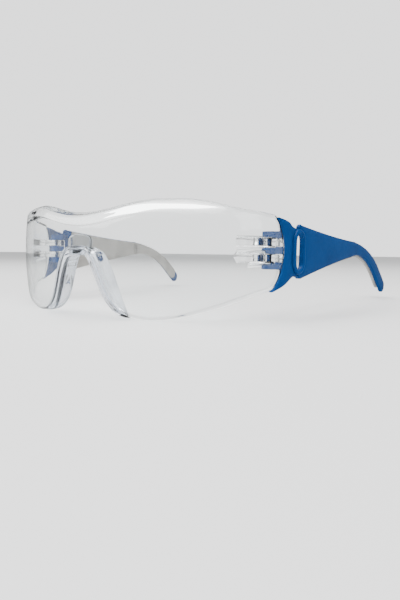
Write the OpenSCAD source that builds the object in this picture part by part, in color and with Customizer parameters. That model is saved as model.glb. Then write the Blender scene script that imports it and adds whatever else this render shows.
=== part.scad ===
// Wrap-round safety goggles: a clear one-piece lens, a clip-in nosepiece and two folding temples.
// Origin: centre of the plan, at the level of the lowest edge of the lens. +X is the wearer's left,
// -Y is the front and +Z is up.

/* [Lens] */
// Plan radius of the front of the lens
front_r = 90; // [85:1:95]
// Plan radius of the sides of the lens
side_r = 45; // [43:1:47]
// Angle at which the front radius gives way to the side radius
turn_angle = 34; // [33:1:35]
// Wall thickness of the lens
lens_t = 2.2; // [1.8:0.1:2.6]
// Radius of the lens from top to bottom
bulge_r = 150; // [130:5:200]
// Height of the brow edge above the hinge centre
brow_h = 15.5; // [14:0.5:17]
// How far the brow edge dips over the nose
brow_dip = 4.5; // [3:0.5:6]
// How far the brow ledge rises
ledge_rise = 3.1; // [2:0.1:4]
// How far the brow ledge reaches back
ledge_depth = 4.2; // [3:0.1:5]
// Height of the nose opening
nose_h = 26; // [24:0.5:27]
// Half width of the nose opening at half its height
nose_half_w = 12.2; // [11:0.1:13]

/* [Hinge] */
// Height of the hinge centre above the lowest edge of the lens
hinge_z = 26.5; // [25:0.5:28]
// Distance of each hinge pin from the middle
pin_x = 62; // [61:0.5:63]
// Distance of the hinge pins behind the front of the lens
pin_back = 43.5; // [42:0.5:45]
// Radius of a hinge pin
pin_r = 0.8; // [0.7:0.05:0.9]
// Radial clearance of the pin in the lens lugs
pin_clear = 0.05; // [0.02:0.01:0.1]
// Radius of the hinge barrel
barrel_r = 3.7; // [3.2:0.1:4]
// Height of one hinge leaf
leaf_h = 2.8; // [2.4:0.1:3]
// Gap between two hinge leaves
leaf_gap = 0.15; // [0.1:0.05:0.3]

/* [Temples] */
// Splay of each temple
splay = 4; // [3:0.5:5]
// Thickness of the moulded temple
temple_t = 2.2; // [1.8:0.1:2.6]
// Half height of the temple where it leaves the hinge flange
root_half_h = 11; // [10:0.5:12]
// Half height of the temple over the ear
ear_half_h = 2.7; // [2.4:0.1:3.2]
// Distance along the temple to where it starts to bend down
bend_start = 72; // [68:1:75]
// Radius of the bend over the ear
bend_r = 69; // [62:1:75]
// Angle of the temple tip below the level
tip_angle = 36; // [34:1:38]
// Height of the end of the temple above the lowest edge of the lens
tip_rise = 3; // [2:0.5:5]
// Thickness of the soft liner
liner_t = 1.2; // [0.8:0.1:1.6]
// How far the liner shows below the temple
liner_drop = 0.9; // [0.5:0.1:1.2]

/* [Strap slot] */
// Half width of the slot
slot_half_w = 3.2; // [2.8:0.1:3.4]
// Half height of the slot
slot_half_h = 7.1; // [6.5:0.1:8]
// Width of the raised rim around the slot
rim_w = 2; // [1.5:0.1:2.2]
// How far the rim stands out
rim_h = 0.8; // [0.5:0.1:1]
// Depth of the hollow behind the rim
hollow_d = 1; // [0.5:0.1:1.2]

/* [Hidden] */
$fn = 64;

lens_color = [0.88, 0.94, 0.94, 0.45];
temple_color = [0.04, 0.28, 0.58];
liner_color = [0.62, 0.61, 0.60];
pin_color = [0.55, 0.56, 0.58];

rad = 180 / PI;

// ---- temple line ---------------------------------------------------------------------------
// The side view of a temple is drawn as (y, z): y back from the side centre of the lens, z up from
// the hinge centre. The line rises a little, bends down over the ear and runs straight to the tip.

centre_rise = 1.9;
bend_z = 1.7;
bend_angle = centre_rise + tip_angle;
bend_len = bend_r * bend_angle / rad;
bend_centre = [bend_start - bend_r * sin(centre_rise), bend_z - bend_r * cos(centre_rise)];
bend_end = bend_centre + bend_r * [sin(tip_angle), cos(tip_angle)];
tip_half_h = 3.6;
tip_run = max(0, (bend_end.y + hinge_z - tip_half_h - tip_rise) / sin(tip_angle));
arm_len = bend_start + bend_len + tip_run;
tip_y = bend_end.x + tip_run * cos(tip_angle) + tip_half_h;
tip_reach = tip_y * cos(splay) - (side_r - temple_t) * sin(splay);

// The middle line of the temple at a distance s along it, and its direction below the level.
function arm_angle(s) = min(tip_angle, max(-centre_rise, (s - bend_start) / bend_r * rad - centre_rise));
function arm_middle(s) =
  let (a = arm_angle(s))
  s < bend_start ? [s, bend_z - (bend_start - s) * tan(centre_rise)]
  : s < bend_start + bend_len ? bend_centre + bend_r * [sin(a), cos(a)]
  : bend_end + (s - bend_start - bend_len) * [cos(tip_angle), -sin(tip_angle)];

// ---- lens surface -------------------------------------------------------------------------
// A place on the lens is given by u, the length round the plan from the middle of the brow,
// v, the height above the hinge centre, and q, the depth behind the outer face.

turn_u = front_r * turn_angle / rad;
side_depth = front_r - (front_r - side_r) * cos(turn_angle);
lip_t = 0.8;
lip_bow = 0.3;
lip_reach = lip_t + lip_bow;
overall_depth = lip_reach + side_depth + tip_reach;
front_y = lip_reach - overall_depth / 2;
side_centre = [(front_r - side_r) * sin(turn_angle), front_y + side_depth];
bulge_v = -3;

function plan_angle(u) =
  u <= turn_u ? u / front_r * rad : turn_angle + (u - turn_u) / side_r * rad;

function right_point(u, v, q) =
  let (
    a = plan_angle(u),
    inward = q + pow(v - bulge_v, 2) / (2 * bulge_r),
    r = (u <= turn_u ? front_r : side_r) - inward,
    c = u <= turn_u ? [0, front_y + front_r] : side_centre
  )
  [c.x + r * sin(a), c.y - r * cos(a), hinge_z + v];

function lens_point(u, v, q) =
  let (p = right_point(abs(u), v, q)) [u < 0 ? -p.x : p.x, p.y, p.z];

// The brow edge: level over the eyes, dipping over the nose and falling gently to the sides.
dip_u = 36;
fall_u = 40;
fall_r = 280;
function brow_v(u) =
  brow_h
  - (abs(u) < dip_u ? brow_dip * (1 + cos(180 * u / dip_u)) / 2 : 0)
  - pow(max(0, abs(u) - fall_u), 2) / (2 * fall_r);

// The lower edge: a bell over the nose, then a curve that sweeps up to the hinge.
flat_u = 30;
sweep_u = 49;
sweep_r = 67;
nose_power = 4.2;
function bell(u) = 1 / (1 + pow(abs(u) / nose_half_w, nose_power));
function nose_v(u) = nose_h * (bell(u) - bell(flat_u)) / (1 - bell(flat_u));
function sweep_v(u) =
  let (d = min(abs(u), sweep_u) - flat_u) pow(max(0, d), 2) / (2 * sweep_r)
  + max(0, abs(u) - sweep_u) * (sweep_u - flat_u) / sweep_r;
function low_v(u) = -hinge_z + (abs(u) < flat_u ? nose_v(u) : sweep_v(u));

// The rear edge is a round nose, concentric with the front of the hinge flange.
flange_r = 23;
flange_front = -6.9;
flange_centre = flange_front - flange_r;
lens_gap = 0.8;
function rear_u(v) =
  let (
    back = flange_centre + sqrt(pow(flange_r - lens_gap, 2) - v * v),
    a = 90 - splay - asin(-back / side_r)
  )
  turn_u + side_r * (a - turn_angle) / rad;

// The brow ledge fades from the eyes to the sides.
ledge_full_u = 46;
ledge_end_u = 70;
ledge_least = 0.25;
function ledge(u) =
  let (t = min(1, max(0, (abs(u) - ledge_full_u) / (ledge_end_u - ledge_full_u))))
  1 - (1 - ledge_least) * t * t * (3 - 2 * t);

// The section of the lens at each station runs up the outer face, over the ledge and down the
// inner face, as [v, q].
wall_steps = 6;
neck_drop = 2.6;
root_drop = 0.9;
function station(u) =
  let (
    low = low_v(u),
    high = brow_v(u),
    f = ledge(u),
    neck = high - neck_drop
  )
  concat(
    [for (i = [0:wall_steps]) [low + (high - low) * i / wall_steps, 0]],
    [[high + 0.4 * ledge_rise * f, 0.2 * ledge_depth * f]],
    [[high + 0.75 * ledge_rise * f, 0.55 * ledge_depth * f]],
    [[high + ledge_rise * f, ledge_depth * f]],
    [[high + 0.35 * ledge_rise * f, lens_t + 0.7 * ledge_depth * f]],
    [[high - root_drop, lens_t + 0.25 * ledge_depth * f]],
    [for (i = [wall_steps:-1:0]) [low + (neck - low) * i / wall_steps, lens_t]]
  );

// A station takes its outline from u. share moves it from where the sections stop standing
// straight (0) round to the rear edge (1).
straight_u = 60;
rear_v = 17;
function placed(u, share, side) =
  [for (s = station(u))
    let (rear = straight_u + (rear_u(min(max(s.x, -rear_v), rear_v)) - straight_u) * share)
    lens_point(side * (share > 0 ? rear : u), s.x, s.y)];

// Station spacing: fine round the nose, coarser over the eyes, and closing in at the rear.
rear_steps = 7;
rear_end_u = 80;
function rear_share(i) = sin(90 * i / rear_steps);
half_stations = concat(
  [for (u = [1:1.5:23.5]) u],
  [26],
  [for (u = [flat_u:3.5:58]) u]
);
lens_sections = concat(
  [for (i = [rear_steps:-1:0])
    placed(straight_u + (rear_end_u - straight_u) * rear_share(i), rear_share(i), -1)],
  [for (i = [len(half_stations) - 1:-1:0]) placed(half_stations[i], 0, -1)],
  [for (u = half_stations) placed(u, 0, 1)],
  [for (i = [0:rear_steps])
    placed(straight_u + (rear_end_u - straight_u) * rear_share(i), rear_share(i), 1)]
);

// Closes a ring of n points with triangles that zigzag between its two long sides.
function zip_faces(n) = [
  for (j = [0:ceil(n / 2) - 2])
  for (f = [[j, j + 1, n - 1 - j], [j + 1, n - 2 - j, n - 1 - j]])
  if (f[0] != f[1] && f[1] != f[2] && f[0] != f[2]) f
];

// A closed skin over a row of sections, each a ring of the same number of points.
module skin(sections) {
  n = len(sections[0]);
  last = len(sections) - 1;
  sides = [
    for (i = [0:last - 1])
    for (j = [0:n - 1])
    for (half = [0, 1])
    let (a = i * n + j, b = i * n + (j + 1) % n)
    half == 0 ? [a, b, a + n] : [b, b + n, a + n]
  ];
  first_cap = [for (f = zip_faces(n)) [f[2], f[1], f[0]]];
  last_cap = [for (f = zip_faces(n)) [for (j = f) last * n + j]];
  polyhedron(points = [for (s = sections) each s], faces = concat(sides, first_cap, last_cap));
}

// ---- hinge --------------------------------------------------------------------------------

pin_y = front_y + pin_back;
pitch = leaf_h + leaf_gap;
stack_h = 5 * leaf_h + 4 * leaf_gap;

module mirrored(side) {
  if (side > 0) {
    children();
  } else {
    mirror([1, 0, 0]) children();
  }
}

// Puts a leaf at its level in the stack, from -2 at the bottom to 2 at the top.
module at_level(i) {
  translate([0, 0, hinge_z + i * pitch - leaf_h / 2]) children();
}

// Plan of one lens lug: the barrel and the web that runs forward into the lens wall.
module lug_plan() {
  translate([pin_x, pin_y]) circle(barrel_r);
  polygon([
    [pin_x - barrel_r, pin_y],
    [pin_x - 5.1, pin_y - 20.1],
    [pin_x - 1.5, pin_y - 16.3],
    [pin_x + 3.2, pin_y - 8.7],
    [pin_x + barrel_r, pin_y]
  ]);
}

module lens() {
  color(lens_color)
  difference() {
    union() {
      skin(lens_sections);
      for (side = [-1, 1])
      for (i = [-1, 1])
      mirrored(side) at_level(i) linear_extrude(leaf_h) lug_plan();
    }
    for (side = [-1, 1])
    translate([side * pin_x, pin_y, hinge_z - stack_h / 2]) cylinder(r = pin_r + pin_clear, h = stack_h);
  }
}

module hinge_pin(side) {
  color(pin_color)
  translate([side * pin_x, pin_y, hinge_z - stack_h / 2]) cylinder(r = pin_r, h = stack_h);
}

// ---- nosepiece ----------------------------------------------------------------------------
// A channel clips over the edge of the nose opening and carries a pad that spreads to the rear.
// p is the distance from the edge of the opening towards the nose.

fit_gap = 0.06;
nose_end_u = 23;
nose_steps = 40;

function nose_slope(u) = (nose_v(u + 0.01) - nose_v(u - 0.01)) / 0.02;

function nose_section(u) =
  let (
    slope = nose_slope(u),
    n = [slope, -1] / sqrt(1 + slope * slope),
    t = abs(u) / nose_end_u,
    size = 1 - 0.7 * pow(t, 5),
    depth = lens_t + 1.4 + 3.4 * (1 - pow(t, 4)) + 1.8 * sin(180 * t),
    spread = 0.45 * (depth - lens_t) * sin(150 * t),
    back = lens_t + fit_gap,
    ring = [
      [-1.6, -fit_gap], [-1.3, -lip_t], [0.4, -lip_reach], [1.8, -0.3], [2.2, 1.2],
      [2 - spread, depth], [0.2 - spread, depth + 0.1], [-1.4, back + lip_t + 0.2],
      [-1.6, back], [fit_gap, back], [fit_gap, -fit_gap]
    ]
  )
  [for (s = ring)
    let (p = s.x * size)
    lens_point(u + n.x * p, nose_v(u) - hinge_z + n.y * p, s.y)];

// The tab over the bridge follows the inner face of the lens, clear of it.
tab_half_w = 6.3;
tab_t = 1.2;
tab_gap = 0.1;
tab_low_v = -2;
tab_high_v = 5.4;
tab_steps = 6;
function tab_section(u) =
  let (front = lens_t + tab_gap, back = front + tab_t)
  [for (s = [[tab_low_v, front], [tab_high_v, front], [tab_high_v, back], [tab_low_v, back]])
    lens_point(u, s.x, s.y)];

module nosepiece() {
  color(lens_color)
  union() {
    skin([for (i = [nose_steps / 2:-1:-nose_steps / 2]) nose_section(i * 2 * nose_end_u / nose_steps)]);
    skin([for (i = [-tab_steps / 2:tab_steps / 2]) tab_section(i * 2 * tab_half_w / tab_steps)]);
  }
}

// ---- temples ------------------------------------------------------------------------------
// The temple is drawn in a frame that starts at the centre of the lens's side radius and is
// turned by the splay: x runs outwards, y back along the temple and z up from the hinge centre.

module temple_frame(side) {
  mirrored(side)
  translate([side_centre.x, side_centre.y, hinge_z])
  rotate([0, 0, -splay])
  children();
}

// Extrudes a drawing of the side, (y, z), along x. side_in and side_out lie clear of the wall.
side_in = side_r - 15;
side_out = side_r + 5;
module through_side(x_from, x_to) {
  translate([x_from, 0, 0]) rotate([90, 0, 90]) linear_extrude(x_to - x_from) children();
}

// The temple narrows to the ear and thickens again to the tip.
root_s = 5.6;
ear_s = 88.5;
taper_power = 1.45;
function arm_half_h(s) =
  s < ear_s ? ear_half_h + (root_half_h - ear_half_h) * pow((ear_s - s) / (ear_s - root_s), taper_power)
  : ear_half_h + (tip_half_h - ear_half_h) * (1 - cos(180 * (s - ear_s) / (arm_len - ear_s))) / 2;

function arm_edge(s, way, grow) =
  let (a = arm_angle(s)) arm_middle(s) + way * (arm_half_h(s) + grow) * [sin(a), cos(a)];

// The arm from s_from to s_to, grown by over at its top and under at its foot, with a round end.
arm_steps = 40;
module arm_side(s_from, s_to, over, under) {
  step = (s_to - s_from) / arm_steps;
  a = arm_angle(s_to);
  up = [sin(a), cos(a)];
  along = [cos(a), -sin(a)];
  end_r = arm_half_h(s_to) + (over + under) / 2;
  end_centre = arm_middle(s_to) + (over - under) / 2 * up;
  polygon(concat(
    [for (i = [0:arm_steps - 1]) arm_edge(s_from + i * step, 1, over)],
    [for (t = [0:10:180]) end_centre + end_r * (cos(t) * up + sin(t) * along)],
    [for (i = [arm_steps - 1:-1:0]) arm_edge(s_from + i * step, -1, under)]
  ));
}

// The crescent flange in front of the arm, cut round to follow the rear edge of the lens.
module flange_side() {
  difference() {
    polygon([
      [-17, 13.5], [-10.5, 12.5], [-4.2, 11.2], [-2.6, 10.1], [-1.2, 9.3], [2.6, 9], [root_s, 10.7],
      [root_s + 3, 6], [root_s + 3, -6], [root_s, -11.3],
      [2.6, -10.5], [-1.2, -10.6], [-3, -11.5], [-6.3, -13.6], [-13.3, -15.9], [-19, -17.7]
    ]);
    translate([flange_centre, 0]) circle(flange_r, $fn = 128);
  }
}

slot_y = 3.4;
slot_z = -0.5;
hollow_w = 1.3;
module slot_side(grow) {
  w = slot_half_w + grow;
  run = slot_half_h - slot_half_w;
  translate([slot_y - w, slot_z - run]) square([2 * w, 2 * run]);
  for (way = [-1, 1]) translate([slot_y, slot_z + way * run]) circle(w);
}

// Plan of the temple wall: a round front concentric with the lens, then a straight arm.
module wall_plan(outer, inner) {
  translate([inner, 0]) square([outer - inner, arm_len + 10]);
  intersection() {
    difference() {
      circle(outer, $fn = 256);
      circle(inner, $fn = 256);
    }
    translate([0, -outer]) square([outer, outer]);
  }
}

module wall(outer, inner) {
  translate([0, 0, -hinge_z - 5]) linear_extrude(2 * hinge_z) wall_plan(outer, inner);
}

// Plan of the web that joins a knuckle's barrel to the inside of the flange.
module knuckle_plan() {
  translate([pin_x, pin_y]) circle(barrel_r);
  polygon([
    [pin_x, pin_y - barrel_r],
    [pin_x + 5.8, pin_y],
    [pin_x + 5.8, pin_y + barrel_r],
    [pin_x, pin_y + barrel_r]
  ]);
}

module temple(side) {
  color(temple_color)
  difference() {
    union() {
      temple_frame(side)
      intersection() {
        wall(side_r, side_r - temple_t);
        through_side(side_in, side_out) union() {
          arm_side(root_s, arm_len, 0, 0);
          flange_side();
        }
      }
      temple_frame(side)
      intersection() {
        wall(side_r + rim_h, side_r - temple_t);
        through_side(side_in, side_out) slot_side(rim_w);
      }
      for (i = [-2, 0, 2])
      mirrored(side) at_level(i) linear_extrude(leaf_h) knuckle_plan();
    }
    translate([side * pin_x, pin_y, hinge_z - stack_h / 2 - 1]) cylinder(r = pin_r, h = stack_h + 2);
    temple_frame(side) through_side(side_in, side_out) slot_side(0);
    temple_frame(side) through_side(side_in, side_r - temple_t + hollow_d) slot_side(hollow_w);
  }
}

// The liner lies on the inside of the straight arm, a little below its top edge.
liner_start = 10;
liner_end = arm_len - 6;
liner_top = -0.4;

module temple_liner(side) {
  color(liner_color)
  temple_frame(side)
  through_side(side_r - temple_t - liner_t, side_r - temple_t)
  arm_side(liner_start, liner_end, liner_top, liner_drop);
}

lens();
nosepiece();
temple(1);  // temple_left
temple(-1);  // temple_right
temple_liner(1);  // temple_liner_left
temple_liner(-1);  // temple_liner_right
hinge_pin(1);  // hinge_pin_left
hinge_pin(-1);  // hinge_pin_right
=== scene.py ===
import math

import bmesh
import bpy
from mathutils import Matrix, Vector, geometry


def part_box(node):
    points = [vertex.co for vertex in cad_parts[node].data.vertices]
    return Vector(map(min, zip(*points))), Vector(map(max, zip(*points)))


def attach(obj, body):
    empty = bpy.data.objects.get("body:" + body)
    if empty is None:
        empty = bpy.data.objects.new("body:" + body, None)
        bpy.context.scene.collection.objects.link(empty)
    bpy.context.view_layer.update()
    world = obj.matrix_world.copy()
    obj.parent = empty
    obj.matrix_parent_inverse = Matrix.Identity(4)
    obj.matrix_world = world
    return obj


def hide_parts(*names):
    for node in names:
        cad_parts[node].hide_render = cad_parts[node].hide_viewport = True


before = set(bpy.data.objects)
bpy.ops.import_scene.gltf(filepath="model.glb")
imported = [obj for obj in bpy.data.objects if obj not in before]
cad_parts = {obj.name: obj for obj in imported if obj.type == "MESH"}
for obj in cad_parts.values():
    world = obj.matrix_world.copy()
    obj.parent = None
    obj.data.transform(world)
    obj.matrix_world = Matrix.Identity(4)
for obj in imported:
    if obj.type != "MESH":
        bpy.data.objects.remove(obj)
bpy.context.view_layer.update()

# Lengths below are in millimetres until MM turns them into metres.
MM = 0.001

# ---- sizes shared with the CAD model --------------------------------------------------------
FRONT_R, SIDE_R, TURN = 90.0, 45.0, 34.0
LENS_T, BULGE_R, BULGE_V = 2.2, 150.0, -3.0
BROW_H, BROW_DIP, DIP_U, FALL_U, FALL_R = 15.5, 4.5, 36.0, 40.0, 280.0
LEDGE_RISE, LEDGE_DEPTH, LEDGE_FULL, LEDGE_END, LEDGE_LEAST = 3.1, 4.2, 46.0, 70.0, 0.25
NOSE_H, NOSE_HALF_W, NOSE_POWER, FLAT_U = 26.0, 12.2, 4.2, 30.0
SWEEP_U, SWEEP_R = 49.0, 67.0
FLANGE_R, FLANGE_CENTRE, LENS_GAP = 23.0, -29.9, 0.8
STRAIGHT_U, REAR_V, REAR_END_U = 60.0, 17.0, 80.0
LEAF_H, LEAF_GAP, BARREL_R, PIN_R = 2.8, 0.15, 3.7, 0.8
PITCH, STACK_H = LEAF_H + LEAF_GAP, 5 * LEAF_H + 4 * LEAF_GAP
SPLAY, TEMPLE_T = 4.0, 2.2
CENTRE_RISE, BEND_Z, BEND_START, BEND_R, TIP_ANGLE, TIP_RISE = 1.9, 1.7, 72.0, 69.0, 36.0, 3.0
ROOT_S, ROOT_HALF, EAR_S, EAR_HALF, TIP_HALF, TAPER = 5.6, 11.0, 88.5, 2.7, 3.6, 1.45
SLOT_Y, SLOT_Z, SLOT_HALF_W, SLOT_HALF_H, HOLLOW_W = 3.4, -0.5, 3.2, 7.1, 1.3
LINER_T, LINER_START, LINER_TOP, LINER_DROP = 1.2, 10.0, -0.4, 0.9

# ---- sizes that only the looks need ---------------------------------------------------------
EDGE_ROUND = 0.7     # rounding of the free edges of the lens
NECK_DROP = 2.6      # height over which the ledge runs out into the inner face of the lens
REAR_SHARE = 0.968   # how far towards the rear edge the lens keeps its full thickness
NOSE_STATIONS = 132
CROWN, CROWN_FADE = 0.5, 1.5   # how far the temple's outer face drops at its outline
FLOOR_DROP = 0.3

pin_low, pin_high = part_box("hinge_pin_left")
PIN_X = (pin_low.x + pin_high.x) / 2 / MM
PIN_Y = (pin_low.y + pin_high.y) / 2 / MM
HINGE_Z = (pin_low.z + pin_high.z) / 2 / MM
FRONT_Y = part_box("lens")[0].y / MM


def sin(a):
    return math.sin(math.radians(a))


def cos(a):
    return math.cos(math.radians(a))


# ---- lens surface ---------------------------------------------------------------------------
TURN_U = math.radians(TURN) * FRONT_R
SIDE_CX = (FRONT_R - SIDE_R) * sin(TURN)
SIDE_CY = FRONT_Y + FRONT_R - (FRONT_R - SIDE_R) * cos(TURN)


def lens_point(u, v, q):
    """u runs round the plan, v up from the hinge centre, q in from the outer face."""
    inward = q + (v - BULGE_V) ** 2 / (2 * BULGE_R)
    w = abs(u)
    if w <= TURN_U:
        a, r, cx, cy = math.degrees(w / FRONT_R), FRONT_R - inward, 0.0, FRONT_Y + FRONT_R
    else:
        a, r = TURN + math.degrees((w - TURN_U) / SIDE_R), SIDE_R - inward
        cx, cy = SIDE_CX, SIDE_CY
    x = cx + r * sin(a)
    return Vector((-x if u < 0 else x, cy - r * cos(a), HINGE_Z + v))


def brow_v(u):
    w = abs(u)
    dip = BROW_DIP * (1 + cos(180 * w / DIP_U)) / 2 if w < DIP_U else 0
    return BROW_H - dip - max(0, w - FALL_U) ** 2 / (2 * FALL_R)


def bell(u):
    return 1 / (1 + (abs(u) / NOSE_HALF_W) ** NOSE_POWER)


def nose_v(u):
    return NOSE_H * (bell(u) - bell(FLAT_U)) / (1 - bell(FLAT_U))


def low_v(u):
    w = abs(u)
    if w < FLAT_U:
        return nose_v(w) - HINGE_Z
    rise = (min(w, SWEEP_U) - FLAT_U) ** 2 / (2 * SWEEP_R)
    return rise + max(0, w - SWEEP_U) * (SWEEP_U - FLAT_U) / SWEEP_R - HINGE_Z


def rear_u(v):
    v = min(max(v, -REAR_V), REAR_V)
    back = FLANGE_CENTRE + math.sqrt((FLANGE_R - LENS_GAP) ** 2 - v * v)
    a = 90 - SPLAY - math.degrees(math.asin(-back / SIDE_R))
    return TURN_U + SIDE_R * math.radians(a - TURN)


def ledge(u):
    t = min(1, max(0, (abs(u) - LEDGE_FULL) / (LEDGE_END - LEDGE_FULL)))
    return 1 - (1 - LEDGE_LEAST) * t * t * (3 - 2 * t)


def bezier(p0, p1, p2, n):
    """n points after p0, up to and with p2."""
    out = []
    for i in range(1, n + 1):
        t = i / n
        out.append(tuple((1 - t) ** 2 * a + 2 * t * (1 - t) * b + t * t * c for a, b, c in zip(p0, p1, p2)))
    return out


def chaikin(points, closed=True, times=1):
    """Cuts the corners of a line of points, which rounds it."""
    for _ in range(times):
        n = len(points)
        out = [] if closed else [points[0]]
        for i in range(n if closed else n - 1):
            a, b = points[i], points[(i + 1) % n]
            out.append(tuple(0.75 * x + 0.25 * y for x, y in zip(a, b)))
            out.append(tuple(0.25 * x + 0.75 * y for x, y in zip(a, b)))
        if not closed:
            out.append(points[-1])
        points = out
    return points


def lens_ring(u):
    """The section of the lens as (v, q), from the foot up the outside and down the inside."""
    low, high, f, r = low_v(u), brow_v(u), ledge(u), EDGE_ROUND
    rise, depth = LEDGE_RISE * f, LEDGE_DEPTH * f
    ring = [(low + r - r * cos(a), r - r * sin(a)) for a in (0, 30, 60, 90)]
    ring += [(low + r + (high - low - r) * i / 6, 0.0) for i in range(1, 7)]
    tip, back = (high + rise, depth), (high + 0.35 * rise, LENS_T + 0.7 * depth)
    ring += bezier((high, 0.0), (high + 0.7 * rise, 0.12 * depth), tip, 5)
    ring += bezier(tip, (high + 0.85 * rise, depth + 0.75 * LENS_T), back, 3)
    ring += bezier(back, (high - 0.7, LENS_T + 0.15 * depth), (high - NECK_DROP, LENS_T), 4)
    neck = high - NECK_DROP
    ring += [(neck + (low + r - neck) * i / 6, LENS_T) for i in range(1, 7)]
    ring += [(low + r - r * sin(a), LENS_T - r + r * cos(a)) for a in (30, 60, 90)]
    return chaikin(ring)


# ---- mesh helpers ---------------------------------------------------------------------------
def new_object(name, bm, material, smooth=40):
    for f in bm.faces:
        f.smooth = True
    mesh = bpy.data.meshes.new(name)
    bm.to_mesh(mesh)
    bm.free()
    mesh.materials.append(material)
    obj = bpy.data.objects.new(name, mesh)
    bpy.context.scene.collection.objects.link(obj)
    if smooth:
        mesh.set_sharp_from_angle(angle=math.radians(smooth))
    return obj


def skin(bm, rings, cap=True):
    """A closed skin over rings of points in millimetres."""
    rows = [[bm.verts.new(Vector(p) * MM) for p in ring] for ring in rings]
    n = len(rows[0])
    for a, b in zip(rows, rows[1:]):
        for j in range(n):
            k = (j + 1) % n
            bm.faces.new((a[j], a[k], b[k], b[j]))
    if cap:
        for row in (rows[0], rows[-1]):
            for j in range(n // 2 - 1):
                bm.faces.new([row[j], row[j + 1], row[n - 2 - j], row[n - 1 - j]])


def inset(points, amount):
    """Moves a closed outline to its left by amount, corner by corner."""
    out, n = [], len(points)
    for i in range(n):
        p = Vector(points[i][:2])
        d1 = (p - Vector(points[i - 1][:2])).normalized()
        d2 = (Vector(points[(i + 1) % n][:2]) - p).normalized()
        n1, n2 = Vector((-d1.y, d1.x)), Vector((-d2.y, d2.x))
        m = (n1 + n2) / max(0.5, 1 + n1.dot(n2))
        out.append(p + m * amount)
    return out


def plate(bm, outlines, d0, d1, r, steps=3):
    """A flat plate with rounded rims, with its outlines in the first two axes."""
    layers = [(d0 + r * (1 - cos(90 * i / steps)), r * (1 - sin(90 * i / steps))) for i in range(steps + 1)]
    layers += [(d0 + d1 - d, o) for d, o in reversed(layers)]
    walls = []
    for outline in outlines:
        rows = []
        for d, o in layers:
            rows.append([bm.verts.new((p.x, p.y, d)) for p in inset(outline, o)])
        n = len(outline)
        for a, b in zip(rows, rows[1:]):
            for j in range(n):
                k = (j + 1) % n
                bm.faces.new((a[j], a[k], b[k], b[j]))
        walls.append(rows)
    for level in (0, -1):
        verts = [v for rows in walls for v in rows[level]]
        loops = [[v.co.copy() for v in rows[level]] for rows in walls]
        for tri in geometry.tessellate_polygon(loops):
            bm.faces.new([verts[i] for i in tri])


def cut(bm, axis, places):
    """Cuts every face along planes, so that a flat plate can bend."""
    for p in places:
        normal = Vector((0, 0, 0))
        normal[axis] = 1.0
        everything = bm.verts[:] + bm.edges[:] + bm.faces[:]
        bmesh.ops.bisect_plane(bm, geom=everything, dist=1e-5, plane_co=normal * p, plane_no=normal)


def finish_mesh(bm):
    """Joins points that coincide and turns every face outwards."""
    bmesh.ops.remove_doubles(bm, verts=bm.verts, dist=1e-7)
    bmesh.ops.recalc_face_normals(bm, faces=bm.faces)


def circle(cx, cy, r, n, start=0, end=360, close=False):
    """n steps round a circle or an arc, with the end of the arc too where close is set."""
    angles = [start + (end - start) * i / n for i in range(n + 1 if close else n)]
    return [(cx + r * cos(a), cy + r * sin(a)) for a in angles]


def merge(target, extra):
    """Adds one mesh to another and frees it."""
    mesh = bpy.data.meshes.new("part")
    extra.to_mesh(mesh)
    extra.free()
    target.from_mesh(mesh)
    bpy.data.meshes.remove(mesh)


# ---- materials ------------------------------------------------------------------------------
def node_material(name, color, roughness, **sockets):
    mat = bpy.data.materials.new(name)
    mat.use_nodes = True
    tree = mat.node_tree
    shader = tree.nodes["Principled BSDF"]
    shader.inputs["Base Color"].default_value = (*color, 1)
    shader.inputs["Roughness"].default_value = roughness
    for key, value in sockets.items():
        shader.inputs[key.replace("_", " ")].default_value = value
    return mat, tree, shader


def add(tree, kind, **values):
    node = tree.nodes.new(kind)
    for key, value in values.items():
        if key in node.inputs:
            node.inputs[key].default_value = value
        else:
            setattr(node, key, value)
    return node


def noise(tree, scale, detail=3.0):
    coord = add(tree, "ShaderNodeTexCoord")
    tex = add(tree, "ShaderNodeTexNoise")
    tex.inputs["Scale"].default_value = scale
    tex.inputs["Detail"].default_value = detail
    tree.links.new(coord.outputs["Object"], tex.inputs["Vector"])
    return tex.outputs["Fac"]


def ramp(tree, source, low, high, start=0.3, end=0.7):
    node = tree.nodes.new("ShaderNodeMapRange")
    node.inputs["From Min"].default_value = start
    node.inputs["From Max"].default_value = end
    node.inputs["To Min"].default_value = low
    node.inputs["To Max"].default_value = high
    tree.links.new(source, node.inputs["Value"])
    return node.outputs["Result"]


def color_ramp(tree, source, stops):
    node = tree.nodes.new("ShaderNodeValToRGB")
    points = node.color_ramp.elements
    points[0].position, points[0].color = stops[0][0], (*stops[0][1], 1)
    points[1].position, points[1].color = stops[-1][0], (*stops[-1][1], 1)
    for place, color in stops[1:-1]:
        points.new(place).color = (*color, 1)
    tree.links.new(source, node.inputs["Fac"])
    return node.outputs["Color"]


def bump(tree, shader, source, strength, distance):
    node = tree.nodes.new("ShaderNodeBump")
    node.inputs["Strength"].default_value = strength
    node.inputs["Distance"].default_value = distance
    tree.links.new(source, node.inputs["Height"])
    tree.links.new(node.outputs["Normal"], shader.inputs["Normal"])


def surface_detail(tree, shader, tones, tone_scale, rough, rough_scale, grain_scale, grain, depth):
    """Uneven colour and roughness and a fine grain, each from its own noise."""
    tree.links.new(color_ramp(tree, noise(tree, tone_scale), tones), shader.inputs["Base Color"])
    tree.links.new(ramp(tree, noise(tree, rough_scale), *rough), shader.inputs["Roughness"])
    bump(tree, shader, noise(tree, grain_scale), grain, depth)


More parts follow.
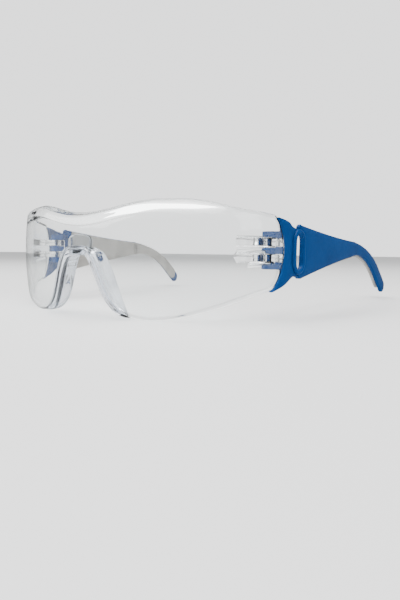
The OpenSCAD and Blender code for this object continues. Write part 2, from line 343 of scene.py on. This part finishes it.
def clear_material(name, color, ior, rough_low, rough_high, wave):
    """Clear plastic that lets the lamps through, with faint flow marks."""
    mat, tree, shader = node_material(name, color, rough_low, Transmission_Weight=1.0, IOR=ior)
    tree.links.new(ramp(tree, noise(tree, 60), rough_low, rough_high), shader.inputs["Roughness"])
    bump(tree, shader, noise(tree, 45, 1.0), wave, 0.0002)
    clear = add(tree, "ShaderNodeBsdfTransparent")
    clear.inputs["Color"].default_value = (0.93, 0.95, 0.95, 1)
    path = tree.nodes.new("ShaderNodeLightPath")
    mix = tree.nodes.new("ShaderNodeMixShader")
    tree.links.new(path.outputs["Is Shadow Ray"], mix.inputs[0])
    tree.links.new(shader.outputs[0], mix.inputs[1])
    tree.links.new(clear.outputs[0], mix.inputs[2])
    tree.links.new(mix.outputs[0], tree.nodes["Material Output"].inputs["Surface"])
    return mat


lens_mat = clear_material("clear_polycarbonate", (0.965, 0.985, 0.985), 1.58, 0.0, 0.03, 0.06)
# The grey-blue base colour is painted shade: it darkens the clear vinyl to stand in for the dark nose that
# the worn nosepiece reflects.
nose_mat = clear_material("clear_vinyl", (0.72, 0.75, 0.8), 1.5, 0.02, 0.06, 0.2)

blue_mat, tree, shader = node_material(
    "blue_nylon", (0.0, 0.036, 0.15), 0.3, IOR=1.4, Specular_IOR_Level=0.15)
blue_tones = [(0.3, (0.0, 0.034, 0.14)), (0.5, (0.0, 0.037, 0.15)), (0.7, (0.0, 0.04, 0.16))]
surface_detail(tree, shader, blue_tones, 90, (0.28, 0.36), 700, 2600, 0.12, 0.00003)

liner_mat, tree, shader = node_material("grey_liner", (0.32, 0.31, 0.29), 0.7)
liner_tones = [(0.3, (0.27, 0.262, 0.245)), (0.7, (0.36, 0.35, 0.33))]
surface_detail(tree, shader, liner_tones, 160, (0.6, 0.8), 900, 3200, 0.3, 0.00006)

steel_mat, tree, shader = node_material("pin_steel", (0.42, 0.43, 0.45), 0.3, Metallic=1.0)
steel_tones = [(0.3, (0.32, 0.33, 0.35)), (0.7, (0.5, 0.51, 0.53))]
surface_detail(tree, shader, steel_tones, 400, (0.22, 0.4), 1500, 4000, 0.2, 0.00003)

# ---- lens -----------------------------------------------------------------------------------
def lens_rows(side):
    """Sections from the middle of the brow round to one rear edge."""
    rows = []
    stations = [0.75 * i for i in range(41)] + [30 + 1.25 * i for i in range(1, 25)]
    for u in stations:
        if side < 0 and u == 0:
            continue
        rows.append([lens_point(side * u, v, q) for v, q in lens_ring(u)])
    for i in range(1, 17):
        share = REAR_SHARE * i / 16
        ring = lens_ring(STRAIGHT_U + (REAR_END_U - STRAIGHT_U) * share)
        rows.append([
            lens_point(side * (STRAIGHT_U + (rear_u(v) - STRAIGHT_U) * share), v, q) for v, q in ring])
    middle = LENS_T / 2
    for a in (22.5, 45, 67.5, 90):
        pinch = EDGE_ROUND * (1 - cos(a)) / middle
        back = EDGE_ROUND * (1 - sin(a))
        rows.append([
            lens_point(side * (rear_u(v) - back), v, q + (middle - q) * pinch)
            for v, q in lens_ring(REAR_END_U)])
    return rows


bm = bmesh.new()
skin(bm, lens_rows(-1)[::-1] + lens_rows(1))
finish_mesh(bm)
lens = new_object("lens_shield", bm, lens_mat)


def leaf_plates(outlines, levels, side, r=0.25):
    """Hinge leaves at their levels, from a plan drawn about the pin."""
    bm = bmesh.new()
    for level in levels:
        z = HINGE_Z + level * PITCH - LEAF_H / 2
        leaf = bmesh.new()
        plate(leaf, outlines, 0.0, LEAF_H, r)
        for v in leaf.verts:
            v.co = Vector((side * (PIN_X + v.co.x), PIN_Y + v.co.y, z + v.co.z)) * MM
        finish_mesh(leaf)
        merge(bm, leaf)
    return bm


def apply_boolean(obj, other, operation):
    mod = obj.modifiers.new("cut", "BOOLEAN")
    mod.operation, mod.solver, mod.object = operation, "EXACT", other
    bpy.context.view_layer.update()
    mesh = bpy.data.meshes.new_from_object(obj.evaluated_get(bpy.context.evaluated_depsgraph_get()))
    obj.modifiers.clear()
    obj.data = mesh
    bpy.data.objects.remove(other)


lug_plan = circle(0, 0, BARREL_R, 24, 0, 180, True) + [(-5.1, -20.1), (-1.5, -16.3), (3.2, -8.7)]
bore_plan = circle(0, 0, PIN_R + 0.05, 24)[::-1]
lugs = bmesh.new()
for side in (-1, 1):
    merge(lugs, leaf_plates([lug_plan, bore_plan], (-1, 1), side))
lug_obj = new_object("lugs", lugs, lens_mat)
apply_boolean(lens, lug_obj, "UNION")
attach(lens, "front")
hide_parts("lens")

# ---- nosepiece ------------------------------------------------------------------------------
NOSE_END_U, FIT, LIP_T, LIP_REACH = 23.0, 0.06, 0.8, 1.1


def nose_ring(u):
    slope = (nose_v(u + 0.01) - nose_v(u - 0.01)) / 0.02
    scale = math.sqrt(1 + slope * slope)
    nu, nv = slope / scale, -1 / scale
    t = abs(u) / NOSE_END_U
    size = 1 - 0.7 * t ** 5
    depth = LENS_T + 1.4 + 3.4 * (1 - t ** 4) + 1.8 * sin(180 * t)
    spread = 0.45 * (depth - LENS_T) * sin(150 * t)
    back = LENS_T + FIT
    ring = [
        (-1.6, -FIT), (-1.3, -LIP_T), (0.4, -LIP_REACH), (1.8, -0.3), (2.2, 1.2),
        (2 - spread, depth), (0.2 - spread, depth + 0.1), (-1.4, back + LIP_T + 0.2),
        (-1.6, back), (-0.5, back), (FIT, back), (FIT, LENS_T / 2), (FIT, -FIT), (-0.5, -FIT)]
    ring = chaikin(ring, times=2)
    return [lens_point(u + nu * p * size, nose_v(u) - HINGE_Z + nv * p * size, q) for p, q in ring]


bm = bmesh.new()
skin(bm, [nose_ring(NOSE_END_U * (2 * i / NOSE_STATIONS - 1)) for i in range(NOSE_STATIONS + 1)])
finish_mesh(bm)
tab = bmesh.new()
TAB_HALF_W, TAB_T, TAB_GAP, TAB_LOW_V, TAB_HIGH_V = 6.3, 1.2, 0.1, -2.0, 5.4
tab_outline = chaikin([
    (-TAB_HALF_W, TAB_HIGH_V), (-TAB_HALF_W, TAB_LOW_V + 1.6), (-TAB_HALF_W + 1.6, TAB_LOW_V),
    (TAB_HALF_W - 1.6, TAB_LOW_V), (TAB_HALF_W, TAB_LOW_V + 1.6), (TAB_HALF_W, TAB_HIGH_V)], times=2)
plate(tab, [tab_outline], 0.0, TAB_T, 0.3)
cut(tab, 0, [-5 + i for i in range(11)])
for v in tab.verts:
    v.co = lens_point(v.co.x, v.co.y, LENS_T + TAB_GAP + v.co.z) * MM
finish_mesh(tab)
merge(bm, tab)
nose = new_object("nose_saddle", bm, nose_mat)
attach(nose, "front")
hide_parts("nosepiece")

# ---- temples --------------------------------------------------------------------------------
BEND_LEN = BEND_R * math.radians(CENTRE_RISE + TIP_ANGLE)
BEND_CY, BEND_CZ = BEND_START - BEND_R * sin(CENTRE_RISE), BEND_Z - BEND_R * cos(CENTRE_RISE)
END_Y, END_Z = BEND_CY + BEND_R * sin(TIP_ANGLE), BEND_CZ + BEND_R * cos(TIP_ANGLE)
TIP_RUN = (END_Z + HINGE_Z - TIP_HALF - TIP_RISE) / sin(TIP_ANGLE)
ARM_LEN = BEND_START + BEND_LEN + TIP_RUN


def arm_angle(s):
    return min(TIP_ANGLE, max(-CENTRE_RISE, math.degrees((s - BEND_START) / BEND_R) - CENTRE_RISE))


def arm_middle(s):
    a = arm_angle(s)
    if s < BEND_START:
        return s, BEND_Z - (BEND_START - s) * math.tan(math.radians(CENTRE_RISE))
    if s < BEND_START + BEND_LEN:
        return BEND_CY + BEND_R * sin(a), BEND_CZ + BEND_R * cos(a)
    run = s - BEND_START - BEND_LEN
    return END_Y + run * cos(TIP_ANGLE), END_Z - run * sin(TIP_ANGLE)


def arm_half(s):
    if s < EAR_S:
        return EAR_HALF + (ROOT_HALF - EAR_HALF) * ((EAR_S - s) / (EAR_S - ROOT_S)) ** TAPER
    return EAR_HALF + (TIP_HALF - EAR_HALF) * (1 - cos(180 * (s - EAR_S) / (ARM_LEN - EAR_S))) / 2


def arm_edge(s, way, grow=0.0):
    a, (y, z), h = arm_angle(s), arm_middle(s), arm_half(s) + grow
    return y + way * h * sin(a), z + way * h * cos(a)


def temple_point(side, x, y, z):
    """From the temple's own frame (x outwards, y back, z up from the hinge centre) to metres."""
    wx = SIDE_CX + x * cos(SPLAY) + y * sin(SPLAY)
    wy = SIDE_CY - x * sin(SPLAY) + y * cos(SPLAY)
    return Vector((side * wx, wy, HINGE_Z + z)) * MM


def wall_x(r, y):
    return math.sqrt(r * r - y * y) if y < 0 else r


RUN = SLOT_HALF_H - SLOT_HALF_W
rim_mid = SLOT_HALF_W + 1.6
bow_top, bow_foot = math.degrees(math.asin(12.5 / FLANGE_R)), math.degrees(math.asin(15.9 / FLANGE_R))
flange_top = chaikin([
    (-10.55, 12.5), (-7.5, 11.95), (-4.6, 11.3), (-3.3, 10.7), (-2.2, 9.8), (-0.6, 9.2), (1.5, 8.9)],
    closed=False, times=2)
flange_foot = chaikin([
    (4.15, -10.7), (2.8, -10.4), (0.6, -10.2), (-1.2, -10.6), (-3, -11.5), (-6.3, -13.5), (-9.8, -14.8),
    (-13.25, -15.9)], closed=False, times=2)
flange_outline = flange_top + circle(SLOT_Y, SLOT_Z + RUN, rim_mid, 8, 110, 180, True)
flange_outline += circle(SLOT_Y, SLOT_Z - RUN, rim_mid, 10, 180, 268, True) + flange_foot
flange_outline += circle(FLANGE_CENTRE, 0, FLANGE_R, 44, -bow_foot, bow_top, True)[1:-1]
arm_stations = [ROOT_S + (ARM_LEN - ROOT_S) * i / 90 for i in range(91)]
a_end = arm_angle(ARM_LEN)
y_end, z_end = arm_middle(ARM_LEN)
tip_arc = [
    (y_end + TIP_HALF * (cos(t) * sin(a_end) + sin(t) * cos(a_end)),
     z_end + TIP_HALF * (cos(t) * cos(a_end) - sin(t) * sin(a_end))) for t in range(10, 180, 10)]
arm_outline = chaikin([(4.2, 9.5), (4.5, 10.1), (5.6, 10.66)], closed=False, times=2)
arm_outline += [arm_edge(s, 1) for s in arm_stations[1:]] + tip_arc
arm_outline += [arm_edge(s, -1) for s in arm_stations[:0:-1]]
arm_outline += chaikin([(5.6, -11.33), (4.5, -10.9), (4.2, -9.8)], closed=False, times=2)
arm_outline += circle(SLOT_Y, SLOT_Z - RUN, rim_mid, 9, -80, 0, True)
arm_outline += circle(SLOT_Y, SLOT_Z + RUN, rim_mid, 9, 0, 80, True)


def edge_distance(outline, y, z):
    """Distance from a point of the side view to an outline."""
    best = 1e9
    for (ay, az), (by, bz) in zip(outline, outline[1:] + outline[:1]):
        dy, dz = by - ay, bz - az
        t = ((y - ay) * dy + (z - az) * dz) / max(1e-9, dy * dy + dz * dz)
        t = min(1, max(0, t))
        best = min(best, (y - ay - t * dy) ** 2 + (z - az - t * dz) ** 2)
    return math.sqrt(best)


# Section of the rim round the strap slot: distance out from the slot, height above the outer face.
RIM = [
    (0.25, -1.2), (0.0, -0.95), (0.0, 0.1), (0.12, 0.48), (0.42, 0.73), (0.85, 0.8), (1.3, 0.76),
    (1.68, 0.55), (1.93, 0.2), (2.0, -0.3), (2.0, -1.9), (1.75, -2.2), (HOLLOW_W + 0.2, -2.2),
    (HOLLOW_W, -2.0), (HOLLOW_W, -1.2)]
knuckle_plan = circle(0, 0, BARREL_R, 24, 90, 270, True) + [(5.8, 0), (5.8, 3.7)]
pin_hole = circle(0, 0, PIN_R + 0.02, 24)[::-1]

flat_meshes = []
for outline in (flange_outline, arm_outline):
    flat = bmesh.new()
    plate(flat, [outline[::-1]], 0.0, TEMPLE_T, 0.45, 4)
    cut(flat, 0, [-14 + i for i in range(24)] + [10 + 2.5 * i for i in range(60) if 10 + 2.5 * i < ARM_LEN])
    cut(flat, 1, [-26 + 1.5 * i for i in range(28)])
    mesh = bpy.data.meshes.new("flat")
    flat.to_mesh(mesh)
    flat.free()
    crowns = [
        CROWN * math.exp(-edge_distance(outline, v.co.x, v.co.y) / CROWN_FADE) for v in mesh.vertices]
    flat_meshes.append((mesh, crowns))

LINER_END = ARM_LEN - 6


def liner_section(s, ahead=0.0, share=1.0, thick=LINER_T):
    """A rounded section of the liner across the arm, moved ahead and shrunk for its round end."""
    a, (cy, cz), h, r = arm_angle(s), arm_middle(s), arm_half(s), 0.35 * thick
    middle, half = (LINER_TOP - LINER_DROP) / 2, (h + (LINER_TOP + LINER_DROP) / 2) * share
    outer, inner = SIDE_R - TEMPLE_T + 0.1, SIDE_R - TEMPLE_T - thick
    section = []
    corners = ((1, outer - r, 0), (1, inner + r, 90), (-1, inner + r, 180), (-1, outer - r, 270))
    for way, x, start in corners:
        for t in (0, 30, 60, 90):
            n = middle + way * (half - r) + r * sin(start + t)
            y, z = cy + n * sin(a) + ahead * cos(a), cz + n * cos(a) - ahead * sin(a)
            section.append((x + r * cos(start + t), y, z))
    return section


liner_sections = []
for t in (0, 20, 40, 60, 80):
    thick = 0.15 + (LINER_T - 0.15) * sin(t)
    liner_sections.append(liner_section(LINER_START + 1.2 * (1 - cos(t)), thick=thick))
full_from = LINER_START + 1.4
for i in range(101):
    liner_sections.append(liner_section(full_from + (LINER_END - full_from) * i / 100))
end_half = arm_half(LINER_END) + (LINER_TOP + LINER_DROP) / 2
for t in (15, 30, 45, 60, 72, 82):
    liner_sections.append(liner_section(LINER_END, end_half * sin(t), max(cos(t), 0.42 / end_half)))

for side, tag in ((1, "left"), (-1, "right")):
    body = f"{tag}_arm"
    bm = bmesh.new()
    for mesh, crowns in flat_meshes:
        bent = bmesh.new()
        bent.from_mesh(mesh)
        for v, crown in zip(bent.verts, crowns):
            y, z, d = v.co
            v.co = temple_point(side, wall_x(SIDE_R - d, y) - crown * (1 - d / TEMPLE_T), y, z)
        finish_mesh(bent)
        merge(bm, bent)
    rim = bmesh.new()
    path = []
    for cz, start in ((SLOT_Z + RUN, 0), (SLOT_Z - RUN, 180)):
        path += [(SLOT_Y, cz, start + 180 * i / 20) for i in range(21)]
    rows = []
    for cy, cz, a in path:
        ring = []
        for o, h in RIM:
            y, z = cy + (SLOT_HALF_W + o) * cos(a), cz + (SLOT_HALF_W + o) * sin(a)
            ring.append(temple_point(side, wall_x(SIDE_R + h, y), y, z) / MM)
        rows.append(ring)
    skin(rim, rows + [rows[0]], cap=False)
    finish_mesh(rim)
    merge(bm, rim)
    merge(bm, leaf_plates([knuckle_plan, pin_hole], (-2, 0, 2), side))
    temple = new_object(f"temple_shell_{tag}", bm, blue_mat)
    weighted = temple.modifiers.new("normals", "WEIGHTED_NORMAL")
    weighted.keep_sharp = True
    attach(temple, body)
    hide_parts(f"temple_{tag}")

    bm = bmesh.new()
    skin(bm, [[temple_point(side, x, y, z) / MM for x, y, z in section] for section in liner_sections])
    finish_mesh(bm)
    liner = new_object(f"liner_{tag}", bm, liner_mat)
    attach(liner, body)
    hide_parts(f"temple_liner_{tag}")

    bm = bmesh.new()
    half = STACK_H / 2
    profile = [
        (0.001, -half - 0.15), (0.5, -half - 0.15), (0.72, -half - 0.05), (PIN_R, -half + 0.1),
        (PIN_R, -half / 2), (PIN_R, 0), (PIN_R, half / 2), (PIN_R, half - 0.1), (0.72, half + 0.05),
        (0.5, half + 0.15), (0.001, half + 0.15)]
    rows = []
    for r, h in profile:
        rows.append([
            (side * PIN_X + r * cos(15 * i), PIN_Y + r * sin(15 * i), HINGE_Z + h) for i in range(24)])
    skin(bm, rows)
    finish_mesh(bm)
    pin = new_object(f"pin_{tag}", bm, steel_mat)
    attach(pin, body)
    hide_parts(f"hinge_pin_{tag}")

# ---- stage, light and camera ----------------------------------------------------------------
floor_mat, tree, shader = node_material("pale_floor", (0.8, 0.8, 0.8), 0.7)
floor_tones = [(0.3, (0.79, 0.79, 0.788)), (0.7, (0.82, 0.82, 0.818))]
tree.links.new(color_ramp(tree, noise(tree, 3), floor_tones), shader.inputs["Base Color"])
bm = bmesh.new()
bmesh.ops.create_grid(bm, x_segments=8, y_segments=8, size=6.0)
floor = new_object("floor", bm, floor_mat, smooth=0)
floor.location = (0, 0, -FLOOR_DROP * MM)
floor.visible_glossy = False

world = bpy.data.worlds.new("studio")
bpy.context.scene.world = world
world.use_nodes = True
tree = world.node_tree
backdrop = tree.nodes["Background"]
backdrop.inputs["Color"].default_value = (0.98, 0.985, 0.99, 1)
backdrop.inputs["Strength"].default_value = 2.0
room = tree.nodes.new("ShaderNodeBackground")
room.inputs["Color"].default_value = (0.9, 0.93, 0.96, 1)
room.inputs["Strength"].default_value = 0.3
path = tree.nodes.new("ShaderNodeLightPath")
seen = tree.nodes.new("ShaderNodeMath")
seen.operation = "MAXIMUM"
mix = tree.nodes.new("ShaderNodeMixShader")
tree.links.new(path.outputs["Is Camera Ray"], seen.inputs[0])
tree.links.new(path.outputs["Is Transmission Ray"], seen.inputs[1])
tree.links.new(seen.outputs[0], mix.inputs[0])
tree.links.new(room.outputs[0], mix.inputs[1])
tree.links.new(backdrop.outputs[0], mix.inputs[2])
tree.links.new(mix.outputs[0], tree.nodes["World Output"].inputs["Surface"])


def softbox(name, place, target, width, height, power, glossy=True):
    light = bpy.data.lights.new(name, "AREA")
    light.shape, light.size, light.size_y, light.energy = "RECTANGLE", width, height, power
    obj = bpy.data.objects.new(name, light)
    obj.location = place
    obj.rotation_euler = (Vector(target) - Vector(place)).to_track_quat("-Z", "Y").to_euler()
    obj.visible_glossy = glossy
    bpy.context.scene.collection.objects.link(obj)


softbox("top_box", (-0.05, -0.1, 0.8), (0, -0.02, 0.02), 1.2, 0.7, 14)
softbox("front_box", (-0.45, -0.65, 0.45), (0, -0.03, 0.02), 0.35, 0.5, 4, False)
softbox("side_box", (0.8, -0.1, 0.4), (0.05, 0, 0.02), 0.4, 0.5, 3, False)

sky = bpy.data.lights.new("sky", "SUN")
sky.energy, sky.angle = 2.2, math.radians(120)
sky_obj = bpy.data.objects.new("sky", sky)
sky_obj.rotation_euler = (math.radians(10), 0, 0)
sky_obj.visible_glossy = False
bpy.context.scene.collection.objects.link(sky_obj)

YAW, TILT, ROLL = 32.7, -5.7, 0.7
CAMERA_PLACE, CAMERA_LENS = (140.8, -216.91, 25.4), 28.578
forward = Vector((-sin(YAW) * cos(TILT), cos(YAW) * cos(TILT), sin(TILT)))
right = Vector((cos(YAW), sin(YAW), 0))
up = right.cross(forward)
right2 = right * cos(ROLL) + up * sin(ROLL)
up2 = up * cos(ROLL) - right * sin(ROLL)
cam = bpy.data.cameras.new("camera")
cam.sensor_fit, cam.sensor_height, cam.sensor_width = "VERTICAL", 36, 24
cam.lens = CAMERA_LENS
cam.clip_start = 0.01
cam_obj = bpy.data.objects.new("camera", cam)
bpy.context.scene.collection.objects.link(cam_obj)
axes = Matrix((right2, up2, -forward)).transposed()
cam_obj.matrix_world = Matrix.Translation(Vector(CAMERA_PLACE) * MM) @ axes.to_4x4()
bpy.context.scene.camera = cam_obj
